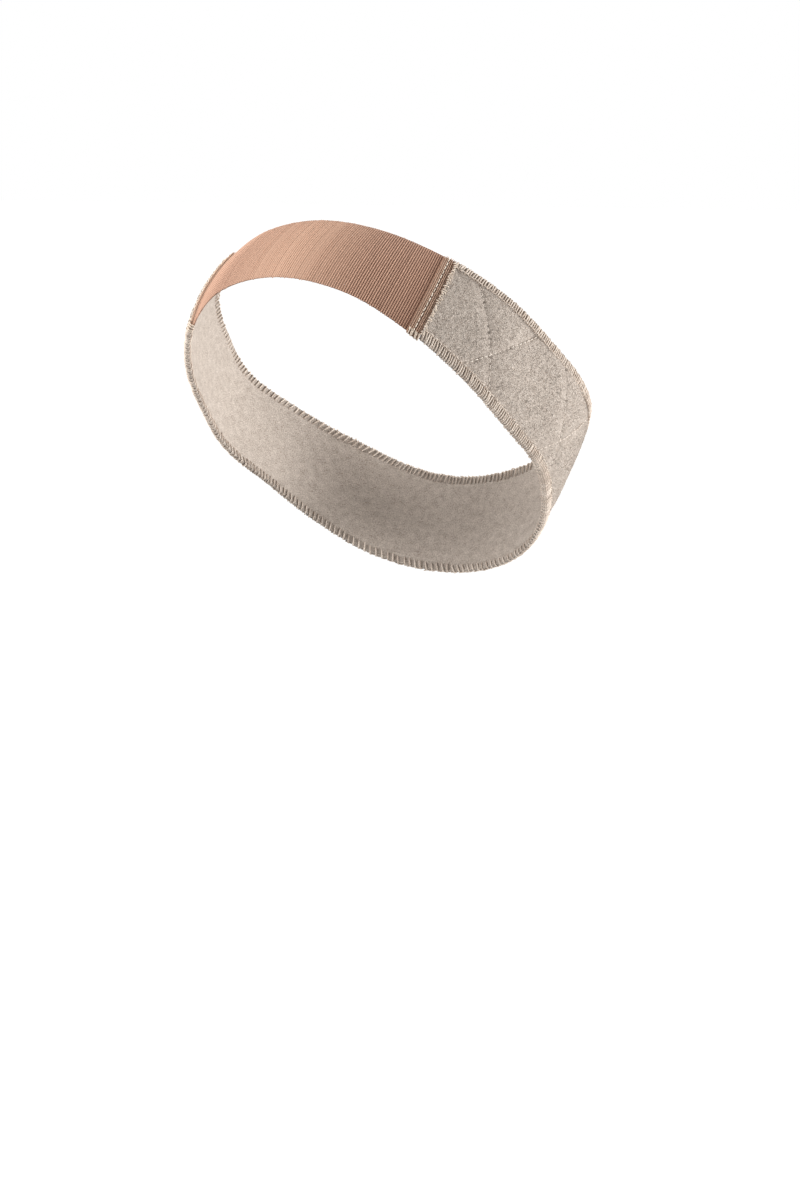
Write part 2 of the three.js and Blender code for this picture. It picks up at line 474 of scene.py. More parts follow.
@dataclass(frozen=True)
class ThreadFinish:
    """Twisted thread, which may be darker towards the temples: partly the less stretched lace's own
    tone, partly painted shade.
    """

    name: str
    dark: Colour
    light: Colour
    variety: float = 0.3
    temple_tone_and_painted_shade: float = 0.0
    paler_reach: float = 20
    darker_reach: float = 58
    ply: float = 0.9 * MM

    def material(self) -> bpy.types.Material:
        """Returns the thread's material."""
        shader = Shader(self.name)
        run, cosine, sine = shader.split(shader.attribute("thread").outputs["Vector"])
        angle = shader.maths("ARCTAN2", sine, cosine)
        twist = shader.maths("SINE", shader.weighted((run, 2 * math.pi / self.ply), (angle, 2.0)))
        strands = shader.maths("MULTIPLY_ADD", twist, 0.5, 0.5)
        speckle = shader.noise(shader.cloth_mm(), 1.3, 3, 0.7)
        own = shader.attribute("fibre").outputs["Fac"]
        shade = shader.weighted((strands, 0.4), (speckle, 0.6 - self.variety), (own, self.variety))
        colour = shader.ramp(shade, ((0.28, self.dark), (0.68, self.light)))
        # Darkens towards the temples: partly the less stretched lace's own tone, partly painted shade.
        if self.temple_tone_and_painted_shade:
            x, _, _ = shader.split(shader.cloth_mm())
            near = shader.node("ShaderNodeMapRange")
            near.inputs["From Min"].default_value = self.paler_reach
            near.inputs["From Max"].default_value = self.darker_reach
            near.inputs["To Max"].default_value = self.temple_tone_and_painted_shade
            shader.join(shader.maths("ABSOLUTE", x), near.inputs["Value"])
            colour = shader.tinted(colour, self.dark, near.outputs["Result"])
        shader.join(colour, shader.principled.inputs["Base Color"])
        shader.raised(strands, 0.06 * MM, 0.8)
        shader.finish(0.7, 0.2, 0.4)
        return shader.material


@dataclass(frozen=True)
class NetFinish:
    """Fine brown net with cross threads at each stitch of its ribs, painted shade in the gaps between
    them, and paler towards the front: partly its own tone where it is stretched, partly painted light.
    """

    name: str
    gap: Colour
    yarn: Colour
    stretched: Colour
    stitch: float = SIZES.lace_stitch / MM
    rib: float = SIZES.rib_pitch / MM
    paler_front_reach: float = 34

    def material(self) -> bpy.types.Material:
        """Returns the net's material."""
        shader = Shader(self.name)
        place = shader.cloth_mm()
        x, y, _ = shader.split(place)
        slope = shader.maths("PINGPONG", shader.maths("DIVIDE", x, self.rib), 0.5)
        cross = shader.zigzag(shader.maths("ADD", shader.maths("DIVIDE", y, self.stitch), slope))
        shade = shader.weighted((cross, 0.55), (shader.noise(place, 1.6, 3, 0.7), 0.45))
        # The gap colour between the cross threads is painted shade in the net's holes.
        colour = shader.ramp(shade, ((0.32, self.gap), (0.72, self.yarn)))
        # Paler towards the front: partly the stretched net's own tone, partly painted light.
        near = shader.maths("DIVIDE", shader.maths("ABSOLUTE", x), self.paler_front_reach)
        soft = shader.maths("MAXIMUM", shader.maths("SUBTRACT", 1.0, near), 0.0)
        colour = shader.tinted(colour, self.stretched, soft)
        shader.join(colour, shader.principled.inputs["Base Color"])
        shader.raised(shade, 0.12 * MM, 0.7)
        shader.finish(0.9, 0.1, 0.4)
        return shader.material


@dataclass(frozen=True)
class FoldFinish:
    """Doubled net of the seam strip, dark between its ribs and laddered like the lace.

    half_loop is half of the loop's length in millimetres, and start and width say where the strip
    lies from the middle of the forehead, in millimetres too.
    """

    half_loop: float
    start: float = (SIZES.seam_reach - SIZES.seam_width / 2) / MM
    width: float = SIZES.seam_width / MM
    fold: Colour = (0.14, 0.08, 0.055)
    middle: Colour = (0.15, 0.085, 0.06)
    ridge: Colour = (0.12, 0.07, 0.05)
    groove: Colour = (0.18, 0.115, 0.085)
    thread: Colour = (0.36, 0.24, 0.18)

    def material(self) -> bpy.types.Material:
        """Returns the fold's material."""
        shader = Shader("seam_fold")
        cloth = shader.cloth_mm()
        x, y, _ = shader.split(cloth)
        from_front = shader.maths("PINGPONG", x, self.half_loop)
        place = shader.maths("DIVIDE", shader.maths("SUBTRACT", from_front, self.start), self.width)
        colour = shader.ramp(
            place,
            (
                (0.0, self.fold),
                (0.22, self.fold),
                (0.34, self.middle),
                (0.52, self.middle),
                (0.6, self.ridge),
                (0.68, self.ridge),
                (0.76, self.groove),
                (0.94, self.groove),
            ),
        )
        ladder = shader.zigzag(shader.maths("DIVIDE", y, SIZES.lace_stitch / MM))
        rung = shader.maths("GREATER_THAN", ladder, 0.62)
        colour = shader.tinted(colour, self.thread, shader.maths("MULTIPLY", rung, 0.45))
        speckle = shader.noise(cloth, 1.5, 3, 0.7)
        fleck = shader.maths("GREATER_THAN", speckle, 0.58)
        colour = shader.tinted(colour, self.groove, shader.maths("MULTIPLY", fleck, 0.3))
        shader.join(colour, shader.principled.inputs["Base Color"])
        shader.raised(shader.maths("ADD", ladder, speckle), 0.12 * MM, 0.8)
        shader.finish(0.9, 0.1, 0.4)
        return shader.material


class Finishes:
    """Every material of the band, made once."""

    def __init__(self, loop: WornLoop) -> None:
        """Makes the materials for a band of the loop's length."""
        self.velvet = VelvetFinish().material()
        self.nap = NapFinish().material()
        # The lace ribs darken towards the temples: partly their own tone, partly painted shade.
        self.rib = ThreadFinish(
            "lace_rib", (0.36, 0.195, 0.13), (0.71, 0.445, 0.315), 0.05, temple_tone_and_painted_shade=0.45
        ).material()
        # The net's first colour is painted shade in its holes; its third makes the front paler, partly
        # painted light.
        self.net = NetFinish(
            "lace_net", (0.11, 0.052, 0.034), (0.24, 0.125, 0.083), (0.5, 0.315, 0.22)
        ).material()
        self.fold = FoldFinish(loop.length / 2 / MM).material()
        self.fold_rib = ThreadFinish(
            "fold_rib", (0.28, 0.16, 0.105), (0.69, 0.465, 0.335)
        ).material()
        self.overlock = ThreadFinish(
            "overlock_thread", (0.5, 0.4, 0.325), (0.86, 0.755, 0.655)
        ).material()
        self.stitch = ThreadFinish("seam_stitch", (0.5, 0.4, 0.31), (0.9, 0.78, 0.65)).material()
        self.quilting = ThreadFinish("quilting", (0.6, 0.5, 0.42), (0.95, 0.87, 0.78)).material()


def points_of(mesh: bpy.types.Mesh) -> np.ndarray:
    """Returns a mesh's points, one row each."""
    flat = np.zeros(len(mesh.vertices) * 3)
    mesh.vertices.foreach_get("co", flat)
    return flat.reshape(-1, 3)


def move_points(mesh: bpy.types.Mesh, points: np.ndarray) -> None:
    """Moves a mesh's points to the given rows."""
    mesh.vertices.foreach_set("co", points.astype(np.float32).ravel())


def mark(mesh: bpy.types.Mesh, name: str, values: np.ndarray) -> None:
    """Gives each point a number, or three, as an attribute that the materials read."""
    kind, entry = ("FLOAT_VECTOR", "vector") if values.ndim == 2 else ("FLOAT", "value")
    layer = mesh.attributes.new(name, kind, "POINT")
    layer.data.foreach_set(entry, values.astype(np.float32).ravel())


@dataclass
class Thread:
    """A short piece of thread along a path, to be repeated many times."""

    path: tuple[tuple[float, float, float], ...]
    radius: float
    swelling: tuple[float, ...] = ()
    sides: int = 6

    def mesh(self) -> bpy.types.Mesh:
        """Returns the thread as a closed tube with its thread attribute."""
        points = [Vector(p) for p in self.path]
        last = len(points) - 1
        shape = bmesh.new()
        layer = shape.verts.layers.float_vector.new("thread")
        rings: list[set] = []
        run = 0.0
        for index, point in enumerate(points):
            ahead = points[min(index + 1, last)] - points[max(index - 1, 0)]
            if index:
                run += (point - points[index - 1]).length
            turn = ahead.to_track_quat("Z", "Y").to_matrix().to_4x4()
            swell = self.swelling[index] if self.swelling else 1.0
            place = Matrix.Translation(point) @ turn
            made = bmesh.ops.create_circle(
                shape,
                cap_ends=index in (0, last),
                segments=self.sides,
                radius=self.radius * swell,
                matrix=place,
            )
            for vertex in made["verts"]:
                local = place.inverted() @ vertex.co
                angle = math.atan2(local.y, local.x)
                vertex[layer] = Vector((run, math.cos(angle), math.sin(angle)))
            rings.append({edge for vertex in made["verts"] for edge in vertex.link_edges})
        for ring, following in zip(rings, rings[1:]):
            bmesh.ops.bridge_loops(shape, edges=list(ring | following))
        bmesh.ops.recalc_face_normals(shape, faces=shape.faces[:])
        mesh = bpy.data.meshes.new("thread_pattern")
        shape.to_mesh(mesh)
        shape.free()
        return mesh


def repeated(pattern: bpy.types.Mesh, places: list[Matrix], name: str) -> bpy.types.Mesh:
    """Joins many copies of a mesh.

    Args:
        pattern: The mesh to repeat.
        places: Where each copy goes.
        name: The new mesh's name.

    Returns:
        One mesh with every copy, with the pattern's thread attribute and a shade for each copy.
    """
    count = len(pattern.vertices)
    points = points_of(pattern)
    turns = np.zeros(count * 3, np.float32)
    pattern.attributes["thread"].data.foreach_get("vector", turns)
    faces = [tuple(face.vertices) for face in pattern.polygons]
    moved = [points @ np.array(m.to_3x3()).T + np.array(m.translation) for m in places]
    mesh = bpy.data.meshes.new(name)
    mesh.from_pydata(
        np.concatenate(moved),
        [],
        [tuple(v + copy * count for v in face) for copy in range(len(places)) for face in faces],
    )
    mark(mesh, "thread", np.tile(turns, len(places)).reshape(-1, 3))
    shades = np.random.default_rng(len(places)).random(len(places))
    mark(mesh, "fibre", np.repeat(shades, count))
    return mesh


def joined(meshes: list[bpy.types.Mesh], name: str) -> bpy.types.Mesh:
    """Returns one mesh of several."""
    shape = bmesh.new()
    for mesh in meshes:
        shape.from_mesh(mesh)
        bpy.data.meshes.remove(mesh)
    whole = bpy.data.meshes.new(name)
    shape.to_mesh(whole)
    shape.free()
    return whole


@dataclass
class Maker:
    """Turns flat meshes into worn, dressed pieces."""

    loop: WornLoop
    finishes: Finishes

    def wear(
        self,
        mesh: bpy.types.Mesh,
        name: str,
        material: bpy.types.Material,
        slot: str,
        replaces: tuple[str, ...] = (),
    ) -> bpy.types.Object:
        """Bends a flat mesh round the head and makes it a piece.

        Args:
            mesh: The flat mesh.
            name: The piece's name.
            material: Its material.
            slot: The record's material slot; not used.
            replaces: The solids that it stands for.

        Returns:
            The piece.
        """
        flat = points_of(mesh)
        corners = np.zeros(len(mesh.loops), np.int32)
        mesh.loops.foreach_get("vertex_index", corners)
        cloth = mesh.uv_layers.new(name="cloth")
        cloth.data.foreach_set("uv", flat[corners, :2].astype(np.float32).ravel())
        move_points(mesh, self.loop.bend(flat))
        mesh.shade_smooth()
        mesh.update()
        mesh.materials.append(material)
        piece = bpy.data.objects.new(name, mesh)
        bpy.context.scene.collection.objects.link(piece)
        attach(piece, BODY)
        if replaces:
            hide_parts(*replaces)
        triangles = sum(len(face.vertices) - 2 for face in mesh.polygons)
        log.info("%s: %d triangles", name, triangles)
        return piece


def slab(
    start: float, end: float, width: float, columns: int, rows: int, thickness: float
) -> tuple[bpy.types.Mesh, np.ndarray]:
    """Cuts a flat piece of cloth with a thickness.

    Args:
        start: Where it starts along the band.
        end: Where it ends.
        width: Its width across the band.
        columns: Faces along it.
        rows: Faces across it.
        thickness: Its thickness, from z 0 outwards.

    Returns:
        The mesh and its points, one row each.
    """
    shape = bmesh.new()
    place = Matrix.Translation(((start + end) / 2, 0, 0)) @ Matrix.Diagonal(
        (end - start, width, 1, 1)
    )
    bmesh.ops.create_grid(shape, x_segments=columns, y_segments=rows, size=0.5, matrix=place)
    bmesh.ops.recalc_face_normals(shape, faces=shape.faces[:])
    bmesh.ops.solidify(shape, geom=shape.faces[:], thickness=thickness)
    bmesh.ops.recalc_face_normals(shape, faces=shape.faces[:])
    mesh = bpy.data.meshes.new("cut")
    shape.to_mesh(mesh)
    shape.free()
    points = points_of(mesh)
    points[:, 2] -= points[:, 2].min()
    return mesh, points


def smooth_noise(points: np.ndarray, size: float, seed: int) -> np.ndarray:
    """Gives soft random waves over the flat cloth.

    Args:
        points: Flat points.
        size: Length of a wave in metres.
        seed: Which waves.

    Returns:
        A value from about -1 to 1 for each point.
    """
    chance = np.random.default_rng(seed)
    total = np.zeros(len(points))
    waves = 9
    for _ in range(waves):
        angle, phase = chance.random(2) * 2 * math.pi
        pitch = size * (0.7 + 0.6 * chance.random())
        run = points[:, 0] * math.cos(angle) + points[:, 1] * math.sin(angle)
        total += np.sin(2 * math.pi * run / pitch + phase)
    return total / math.sqrt(waves)


@dataclass
class LacePanel:
    """The sheer ribbed panel over the hairline: a fine net and the chain-stitched ribs on it."""

    maker: Maker
    reach: float = SIZES.lace_reach
    width: float = SIZES.width
    net_thickness: float = 0.3 * MM
    net_height: float = 0.45 * MM
    rib_pitch: float = SIZES.rib_pitch
    rib_radius: float = 0.28 * MM
    rib_height: float = 0.62 * MM
    stitch: float = SIZES.lace_stitch

    def net(self) -> bpy.types.Object:
        """Returns the net behind the ribs."""
        mesh, points = slab(-self.reach, self.reach, self.width, 118, 30, self.net_thickness)
        points[:, 2] += self.net_height
        move_points(mesh, points)
        return self.maker.wear(mesh, "lace_net", self.maker.finishes.net, "lace", ("lace_panel",))

    def ribs(self) -> bpy.types.Object:
        """Returns the ribs, each a chain of stitches from edge to edge."""
        count = 2 * round(self.width / self.stitch)
        half = self.width / 2 + 0.15 * MM
        path = tuple((0, -half + 2 * half * i / count, self.rib_height) for i in range(count + 1))
        swelling = tuple(1.18 if i % 2 else 0.82 for i in range(count + 1))
        pattern = Thread(path, self.rib_radius, swelling).mesh()
        chance = np.random.default_rng(4)
        ribs = int((2 * self.reach) // self.rib_pitch)
        first = -(ribs - 1) / 2 * self.rib_pitch
        places = [
            Matrix.Translation(
                (
                    first + i * self.rib_pitch + 0.015 * MM * chance.standard_normal(),
                    0.12 * MM * chance.standard_normal(),
                    0.03 * MM * chance.standard_normal(),
                )
            )
            for i in range(ribs)
        ]
        mesh = repeated(pattern, places, "lace_ribs")
        return self.maker.wear(mesh, "lace_ribs", self.maker.finishes.rib, "lace")

    def build(self) -> bpy.types.Object:
        """Makes the panel's net and ribs."""
        net = self.net()
        ribs = self.ribs()
        return net


@dataclass
class Quilting:
    """Slanting lines of stitches that cross in a row just below the centre line."""

    pitch: float = 56.4 * MM
    angle: float = 54.6
    crossing_drop: float = 6.4 * MM
    stitch: float = 2.5 * MM
    hollow: float = 3.2 * MM
    crease: float = 0.8 * MM
    needle_hole: float = 0.5 * MM

    def offsets(self, points: np.ndarray, middle: float) -> list[np.ndarray]:
        """Returns how far each flat point is along the band from the two sets of lines."""
        from_back = points[:, 0] - middle
        shift = (points[:, 1] + self.crossing_drop) / math.tan(math.radians(self.angle))
        places = [from_back - shift, from_back + shift]
        return [place - self.pitch * np.round(place / self.pitch) for place in places]

    def dent(self, points: np.ndarray, middle: float) -> np.ndarray:
        """Returns how deep the quilting pulls the cloth in, from 0 to 1."""
        depth = np.zeros(len(points))
        slope = math.sin(math.radians(self.angle))
        for offset in self.offsets(points, middle):
            away = np.abs(offset) * slope
            depth = np.maximum(depth, 0.5 * np.exp(-((away / self.hollow) ** 2)))
            depth = np.maximum(depth, np.exp(-((away / self.crease) ** 2)))
        return depth

    def holes(self, points: np.ndarray, places: list[Matrix]) -> np.ndarray:
        """Returns how near each flat point is to a needle hole, from 0 to 1."""
        reach = Vector((self.stitch / 2, 0, 0))
        tree = KDTree(2 * len(places))
        for index, place in enumerate(places):
            for side in (1, -1):
                hole = place @ (side * reach)
                tree.insert((hole.x, hole.y, 0), 2 * index + (side > 0))
        tree.balance()
        away = np.array([tree.find((x, y, 0))[2] for x, y in points[:, :2]])
        strength = 0.4 + 0.45 * smooth_noise(points, 11 * MM, 91)
        return np.exp(-((away / self.needle_hole) ** 2)) * np.clip(strength, 0.1, 1)

    def places(self, start: float, end: float, half_width: float, out: float) -> list[Matrix]:
        """Lays the stitches.

        Args:
            start: Where the quilted cloth starts along the band.
            end: Where it ends.
            half_width: Half of the width that is quilted.
            out: Height of the stitches.

        Returns:
            One matrix for each stitch, which points along x before it is turned.
        """
        middle = (start + end) / 2
        slant = math.radians(self.angle)
        chance = np.random.default_rng(8)
        found = []
        reach = math.ceil((end - start) / self.pitch)
        length = 2 * half_width / math.sin(slant)
        steps = int(length // self.stitch)
        for side in (1, -1):
            for line in range(-reach, reach + 1):
                for step in range(-steps // 2, steps // 2 + 1):
                    across = step * self.stitch * math.sin(slant)
                    shift = (across + self.crossing_drop) / math.tan(slant)
                    along = middle + line * self.pitch + side * shift
                    if abs(across) > half_width or not start + MM < along < end - MM:
                        continue
                    turn = slant if side > 0 else math.pi - slant
                    turn += 0.06 * chance.standard_normal()
                    found.append(
                        Matrix.Translation((along, across, out)) @ Matrix.Rotation(turn, 4, "Z")
                    )
        return found


@dataclass
class VelvetBand:
    """The quilted velvet round the sides and the back."""

    maker: Maker
    start: float = SIZES.velvet_start
    width: float = SIZES.width - 2 * SIZES.gap
    thickness: float = 2.6 * MM
    pile: float = 0.3 * MM
    edge_thickness: float = 1.7 * MM
    edging: float = SIZES.edging + 0.1 * MM
    edging_slope: float = 1.2 * MM
    pressed_depth: float = 0.6 * MM
    blades: int = 48000
    end_blades: int = 900
    blade_length: float = 0.9 * MM
    blade_half: float = 0.085 * MM
    blade_tilt: float = 62
    blade_heading: float = 3.7
    quilting: Quilting = field(default_factory=Quilting)

    @property
    def end(self) -> float:
        """Where the velvet ends, on the wearer's right."""
        return self.maker.loop.length - self.start

    def bare(self, points: np.ndarray) -> np.ndarray:
        """Returns 1 between the two edgings and 0 under them, for each flat point."""
        from_edge = self.width / 2 - np.abs(points[:, 1])
        squeeze = np.clip((self.edging + 0.1 * MM - from_edge) / self.edging_slope, 0, 1)
        return 1 - squeeze * squeeze * (3 - 2 * squeeze)

    def surface(self, points: np.ndarray) -> tuple[np.ndarray, np.ndarray, np.ndarray, np.ndarray]:
        """Measures the ground at flat points.

        Args:
            points: Flat points, one row each.

        Returns:
            Its inner and outer heights, how far the quilting lines press it, and its needle holes.
        """
        bare = self.bare(points)
        full = self.edge_thickness + (self.thickness - self.edge_thickness) * bare
        from_end = np.minimum(points[:, 0] - self.start, self.end - points[:, 0])
        end_round = np.clip(1 - from_end / (1.2 * MM), 0, 1)
        full *= 1 - 0.3 * end_round**2
        line = self.quilting.dent(points, (self.start + self.end) / 2) * bare
        inside = self.width / 2 - self.edging
        places = self.quilting.places(self.start, self.end, inside, 0)
        hole = self.quilting.holes(points, places) * bare
        waves = 0.07 * smooth_noise(points, 2.6 * MM, 3) + 0.05 * smooth_noise(points, 1.7 * MM, 5)
        slack = 0.22 * MM * smooth_noise(points, 34 * MM, 11) * (1 - end_round)
        inner = (self.thickness - full) / 2 + slack
        outer = (self.thickness + full) / 2 + slack - self.pile * bare
        outer += waves * MM * bare - self.pressed_depth * (line + hole)
        return inner, outer, line, hole

    def cloth(self) -> bpy.types.Object:
        """Returns the velvet's ground, pressed in by its quilting and under the edging."""
        mesh, points = slab(self.start, self.end, self.width, 560, 60, self.thickness)
        above = points[:, 2] > self.thickness / 2
        inner, outer, line, hole = self.surface(points)
        points[:, 2] = np.where(above, outer, inner)
        move_points(mesh, points)
        # Masks for the painted shade in the quilting creases, the needle holes and under the edging.
        mark(mesh, "painted_shade_masks", np.stack([line * above, hole * above, 1 - self.bare(points)], axis=1))
        return self.maker.wear(
            mesh, "velvet_ground", self.maker.finishes.velvet, "velvet", ("velvet_band",)
        )

    def nap(self, start: float, end: float, name: str) -> bpy.types.Object:
        """Stands fibres on part of the ground.

        Args:
            start: Where that part starts along the band.
            end: Where it ends.
            name: The piece's name.

        Returns:
            The fibres, each a thin three-sided spike that leans with its neighbours.
        """
        chance = np.random.default_rng(61)
        count = self.blades
        roots = np.zeros((count, 3))
        roots[:, 0] = start + (end - start) * chance.random(count)
        roots[:, 1] = (self.width - 0.6 * MM) * (chance.random(count) - 0.5)
        at_left = start < self.maker.loop.length / 2 - MM
        cut_end, away = (self.start, -1) if at_left else (self.end, 1)
        roots[: self.end_blades, 0] = cut_end - away * MM * chance.random(self.end_blades)
        _, outer, line, hole = self.surface(roots)
        bare = self.bare(roots)
        bald = np.maximum(0.75 * line, hole**0.3)
        kept = (chance.random(count) > bald) & (chance.random(count) < 0.25 + bare)
        roots, outer, bare, line = roots[kept], outer[kept], bare[kept], line[kept]
        count = len(roots)
        roots[:, 2] = outer - 0.1 * MM
        stray = 0.5 * smooth_noise(roots, 15 * MM, 71) + 0.6 * chance.standard_normal(count)
        near_end = np.abs(roots[:, 0] - cut_end) < 1.1 * MM
        heading = np.where(
            near_end, (1 - away) * math.pi / 2 + 0.8 * stray, self.blade_heading + stray
        )
        tilt = np.radians(self.blade_tilt + 10 * chance.standard_normal(count))
        length = self.blade_length + 0.2 * MM * chance.standard_normal(count)
        length *= 0.8 + 0.2 * bare - 0.3 * line
        flow = np.stack([np.cos(heading), np.sin(heading), np.zeros(count)], axis=1)
        side = np.stack([-flow[:, 1], flow[:, 0], np.zeros(count)], axis=1)
        rise = np.array((0.0, 0.0, 1.0))
        lean = flow * np.sin(tilt)[:, None] + rise * np.cos(tilt)[:, None]
        brow = rise * np.sin(tilt)[:, None] - flow * np.cos(tilt)[:, None]
        half = self.blade_half
        corners = np.stack(
            [
                roots + side * half,
                roots - side * half,
                roots + brow * half * 1.4,
                roots + lean * length[:, None],
            ],
            axis=1,
        )
        first = 4 * np.arange(count)[:, None, None]
        spike = np.array(((0, 2, 1), (0, 1, 3), (1, 2, 3), (2, 0, 3)))
        mesh = bpy.data.meshes.new(name)
        mesh.from_pydata(corners.reshape(-1, 3), [], (spike[None] + first).reshape(-1, 3))
        mark(mesh, "fibre", np.repeat(chance.random(count), 4))
        return self.maker.wear(mesh, name, self.maker.finishes.nap, "velvet")

    def stitches(self) -> bpy.types.Object:
        """Returns the quilting stitches, each a short arc that dips into the velvet."""
        half = 0.75 * MM
        path = (
            (-half - 0.2 * MM, 0, -0.5 * MM),
            (-half, 0, -0.05 * MM),
            (-half / 2, 0, 0.16 * MM),
            (half / 2, 0, 0.16 * MM),
            (half, 0, -0.05 * MM),
            (half + 0.2 * MM, 0, -0.5 * MM),
        )
        pattern = Thread(path, 0.2 * MM).mesh()
        inside = self.width / 2 - self.edging
        places = self.quilting.places(self.start, self.end, inside, 1.82 * MM)
        name = "quilting_stitches"
        mesh = repeated(pattern, places, name)
        return self.maker.wear(mesh, name, self.maker.finishes.quilting, "velvet")

    def build(self) -> bpy.types.Object:
        """Makes the velvet's ground, its stitches and its nap."""
        cloth = self.cloth()
        stitches = self.stitches()
        middle = (self.start + self.end) / 2
        naps = [
            self.nap(self.start, middle, "velvet_nap_left"),
            self.nap(middle, self.end, "velvet_nap_right"),
        ]
        return cloth


class Edge(Enum):
    """One of the band's two long edges."""

    UPPER = 1
    LOWER = -1


@dataclass
class OverlockEdge:
    """Thread sewn over one long edge of the velvet in zigzags, with a line of needle stitches."""

    maker: Maker
    edge: Edge
    start: float = SIZES.velvet_start
    half_width: float = SIZES.width / 2
    edging: float = SIZES.edging
    stitch: float = 2.3 * MM
    top: float = 2.5 * MM
    radius: float = 0.33 * MM
    needle_radius: float = 0.22 * MM
    lumps: tuple[float, ...] = (0.7, 0.9, 1.05, 1.2, 1.25, 1.1, 1, 0.9, 0.8, 0.7)

    def loop_path(self) -> tuple[tuple[float, float, float], ...]:
        """Returns one stitch: over the top to the edge, round it, and back to the needle line."""
        side = self.edge.value
        inner = self.half_width - self.edging
        top, bottom = self.top + 0.05 * MM, -0.05 * MM
        p = self.stitch
        rim = self.half_width
        profile = (
            (0.1 * p, inner - 0.1 * MM, top - 0.5 * MM),
            (0.12 * p, inner + 0.35 * MM, top),
            (0.2 * p, inner + 1.5 * MM, top + 0.12 * MM),
            (0.32 * p, rim - 0.9 * MM, top - 0.02 * MM),
            (0.37 * p, rim - 0.15 * MM, top - 0.5 * MM),
            (0.4 * p, rim + 0.12 * MM, 1.3 * MM),
            (0.43 * p, rim - 0.15 * MM, bottom + 0.5 * MM),
            (0.47 * p, rim - 0.9 * MM, bottom + 0.02 * MM),
            (0.75 * p, inner + 1.2 * MM, bottom - 0.1 * MM),
            (0.95 * p, inner + 0.2 * MM, bottom + 0.4 * MM),
        )
        return tuple((x, side * y, z) for x, y, z in profile)

    def return_path(self) -> tuple[tuple[float, float, float], ...]:
        """Returns the slanting thread on top, from the edge back to the next needle stitch."""
        side = self.edge.value
        inner = self.half_width - self.edging
        top = self.top
        p = self.stitch
        rim = self.half_width
        profile = (
            (0.92 * p, rim + 0.1 * MM, 1.2 * MM),
            (0.88 * p, rim - 0.2 * MM, top - 0.45 * MM),
            (0.82 * p, rim - 1.0 * MM, top),
            (0.72 * p, inner + 1.4 * MM, top + 0.08 * MM),
            (0.66 * p, inner + 0.3 * MM, top - 0.02 * MM),
            (0.62 * p, inner - 0.15 * MM, top - 0.55 * MM),
        )
        return tuple((x, side * y, z) for x, y, z in profile)

    def needle_path(self) -> tuple[tuple[float, float, float], ...]:
        """Returns one stitch of the needle line."""
        y = self.edge.value * (self.half_width - self.edging - 0.1 * MM)
        p = self.stitch
        return (
            (0.08 * p, y, 1.9 * MM),
            (0.14 * p, y, 2.4 * MM),
            (0.32 * p, y, 2.8 * MM),
            (0.68 * p, y, 2.8 * MM),
            (0.86 * p, y, 2.4 * MM),
            (0.92 * p, y, 1.9 * MM),
        )

    def places(self, seed: int) -> list[Matrix]:
        """Returns a place for each stitch along the edge, a little uneven."""
        chance = np.random.default_rng(seed + 10 * self.edge.value + 20)
        length = self.maker.loop.length - 2 * self.start
        count = int(length // self.stitch)
        step = length / count
        found = []
        for i in range(count):
            x = self.start + i * step + 0.08 * MM * chance.standard_normal()
            y = 0.1 * MM * chance.standard_normal()
            z = 0.08 * MM * chance.standard_normal()
            stretch = Matrix.Diagonal((1 + 0.04 * chance.standard_normal(), 1, 1, 1))
            middle = self.edge.value * (self.half_width - self.edging / 2)
            centre = Matrix.Translation((0, middle, 0))
            turn = Matrix.Rotation(0.07 * chance.standard_normal(), 4, "Z")
            found.append(
                Matrix.Translation((x, y, z)) @ centre @ turn @ centre.inverted() @ stretch
            )
        return found

    def build(self) -> bpy.types.Object:
        """Makes the edging."""
        name = f"overlock_threads_{self.edge.name.lower()}"
        loops = repeated(
            Thread(self.loop_path(), self.radius, self.lumps).mesh(), self.places(1), name
        )
        returns = repeated(
            Thread(self.return_path(), self.radius * 0.95, self.lumps[5::-1]).mesh(),
            self.places(2),
            name,
        )
        needles = repeated(
            Thread(self.needle_path(), self.needle_radius).mesh(), self.places(3), name
        )
        mesh = joined([loops, returns, needles], name)
        solid = f"overlock_{self.edge.name.lower()}"
        return self.maker.wear(mesh, name, self.maker.finishes.overlock, "thread", (solid,))


class Side(Enum):
    """One side of the wearer."""

    LEFT = 1
    RIGHT = -1


# Profile of the seam strip from the lace to the velvet: place along it, rise, and groove, as shares.
SEAM_PROFILE = (
    (0.0, 0.45, 0.0),
    (0.1, 0.75, 0.0),
    (0.24, 0.95, 0.0),
    (0.34, 1.0, 0.0),
    (0.42, 1.0, 0.4),
    (0.52, 1.0, 0.0),
    (0.7, 1.0, 0.1),
    (0.82, 1.0, 0.7),
    (0.92, 1.0, 0.2),
    (1.0, 0.85, 0.0),
)

# Ribs on the seam strip: place along its profile, and radius in millimetres.
SEAM_RIBS = (
    (0.02, 0.23),
    (0.15, 0.22),
    (0.28, 0.2),
    (0.56, 0.2),
    (0.7, 0.2),
    (0.84, 0.2),
    (0.97, 0.22),
)


